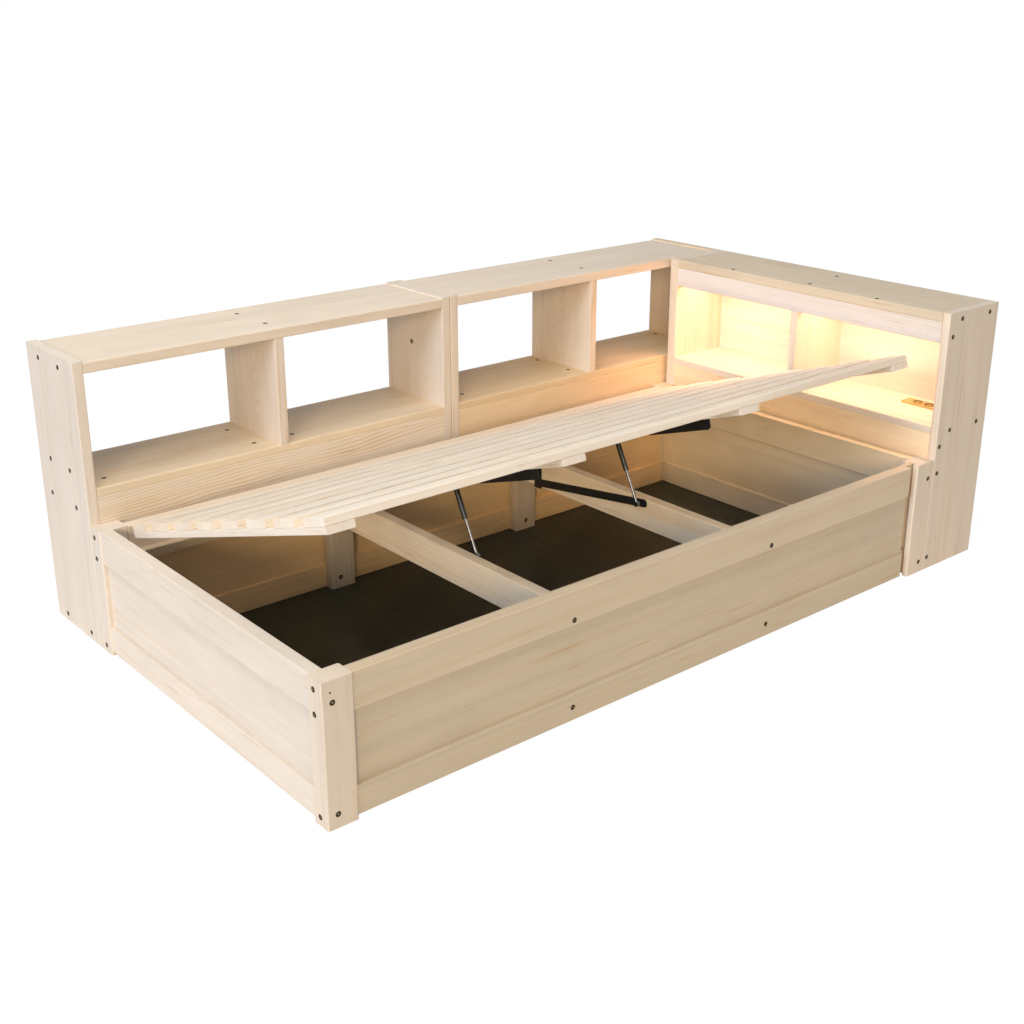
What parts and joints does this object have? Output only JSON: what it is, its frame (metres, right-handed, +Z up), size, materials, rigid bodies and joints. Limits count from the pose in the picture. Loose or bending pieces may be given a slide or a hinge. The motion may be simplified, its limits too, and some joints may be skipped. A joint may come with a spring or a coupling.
{
  "type": "tatami platform bed",
  "caption": "Low wooden platform bed with a lift-up slatted lid over a storage box, an open bookcase along the back and a lit shelf headboard.",
  "frame": {"origin": "middle of the footprint, on the floor", "axes": "+X along the bed towards the headboard, +Y across the bed towards the bookcase, +Z up"},
  "size_m": [2.368, 1.392, 0.787],
  "materials": {
    "pine": "matte",
    "pale_pine": "matte",
    "grey_pine": "matte",
    "dark_board": "satin",
    "black_steel": "satin",
    "chrome_rod": "polished",
    "light_diffuser": "glowing",
    "gold_plastic": "gloss"
  },
  "bodies": {
    "bed_frame": {"front_left_post": "pine", "front_right_post": "pine", "back_left_post": "pine", "back_right_post": "pine", "front_top_rail": "pine", "front_panel_board": "pine", "front_bottom_rail": "pine", "back_top_rail": "pine", "back_panel_board": "pine", "back_bottom_rail": "pine", "foot_top_rail": "pale_pine", "foot_panel_board": "pale_pine", "foot_bottom_rail": "pale_pine", "head_top_rail": "pale_pine", "head_panel_board": "pale_pine", "head_bottom_rail": "pale_pine", "front_ledger": "pine", "back_ledger": "pine", "left_cross_beam": "pine", "right_cross_beam": "pine", "front_support_legs": "grey_pine", "back_support_legs": "grey_pine", "left_bottom_board": "dark_board", "middle_bottom_board": "dark_board", "right_bottom_board": "dark_board", "left_case_left_side": "pale_pine", "left_case_right_side": "pale_pine", "left_case_divider": "pale_pine", "left_case_top": "pale_pine", "left_case_shelf": "pale_pine", "left_case_apron": "pale_pine", "left_case_bottom": "pale_pine", "right_case_left_side": "pale_pine", "right_case_right_side": "pale_pine", "right_case_divider": "pale_pine", "right_case_top": "pale_pine", "right_case_shelf": "pale_pine", "right_case_apron": "pale_pine", "right_case_bottom": "pale_pine", "headboard_front_side": "pine", "headboard_back_side": "pine", "headboard_top": "pine", "headboard_header": "pale_pine", "headboard_divider": "pale_pine", "headboard_shelf": "pine", "headboard_apron": "pale_pine", "headboard_bottom_rail": "pale_pine", "headboard_back_panel": "pine", "light_strip": "light_diffuser", "charging_plate": "gold_plastic", "left_lift_bar": "black_steel", "right_lift_bar": "black_steel"},
    "upper_link_pair": {"upper_links": "black_steel"},
    "lifting_lid": {"lid_slats": "pine", "lid_battens": "pale_pine", "left_lid_bar": "black_steel", "right_lid_bar": "black_steel"},
    "lower_link_pair": {"lower_links": "black_steel"},
    "strut_rod_pair": {"strut_rods": "chrome_rod"},
    "strut_tube_pair": {"strut_tubes": "black_steel"}
  },
  "joints": [
    {"name": "lid_lift", "type": "hinge", "parent": "bed_frame", "child": "upper_link_pair", "pos_m": [-0.1265, 0.2065, 0.266], "axis": [1, 0, 0], "range_deg": [-62.76, 0]},
    {"name": "lid_tilt", "type": "hinge", "parent": "upper_link_pair", "child": "lifting_lid", "pos_m": [-0.1265, 0.23894, 0.3334], "axis": [-1, 0, 0], "range_deg": [-80.77, 0]},
    {"name": "lower_link_swing", "type": "hinge", "parent": "bed_frame", "child": "lower_link_pair", "pos_m": [-0.1265, 0.2065, 0.238], "axis": [1, 0, 0], "range_deg": [-59.73, 0]},
    {"name": "strut_swing", "type": "hinge", "parent": "bed_frame", "child": "strut_rod_pair", "pos_m": [-0.1265, -0.242, 0.27], "axis": [1, 0, 0], "range_deg": [-63.75, 0]},
    {"name": "strut_stroke", "type": "slide", "parent": "strut_rod_pair", "child": "strut_tube_pair", "axis": [0, 0.4624, 0.8867], "range_m": [-0.0907, 0]}
  ],
  "couplings": [
    {"joint": "lid_tilt", "follows": "lid_lift", "ratio": 1.2868},
    {"joint": "lower_link_swing", "follows": "lid_lift", "ratio": 0.95147},
    {"joint": "strut_swing", "follows": "lid_lift", "ratio": 1.0155},
    {"joint": "strut_stroke", "follows": "lid_lift", "m_per_rad": 0.082735}
  ]
}
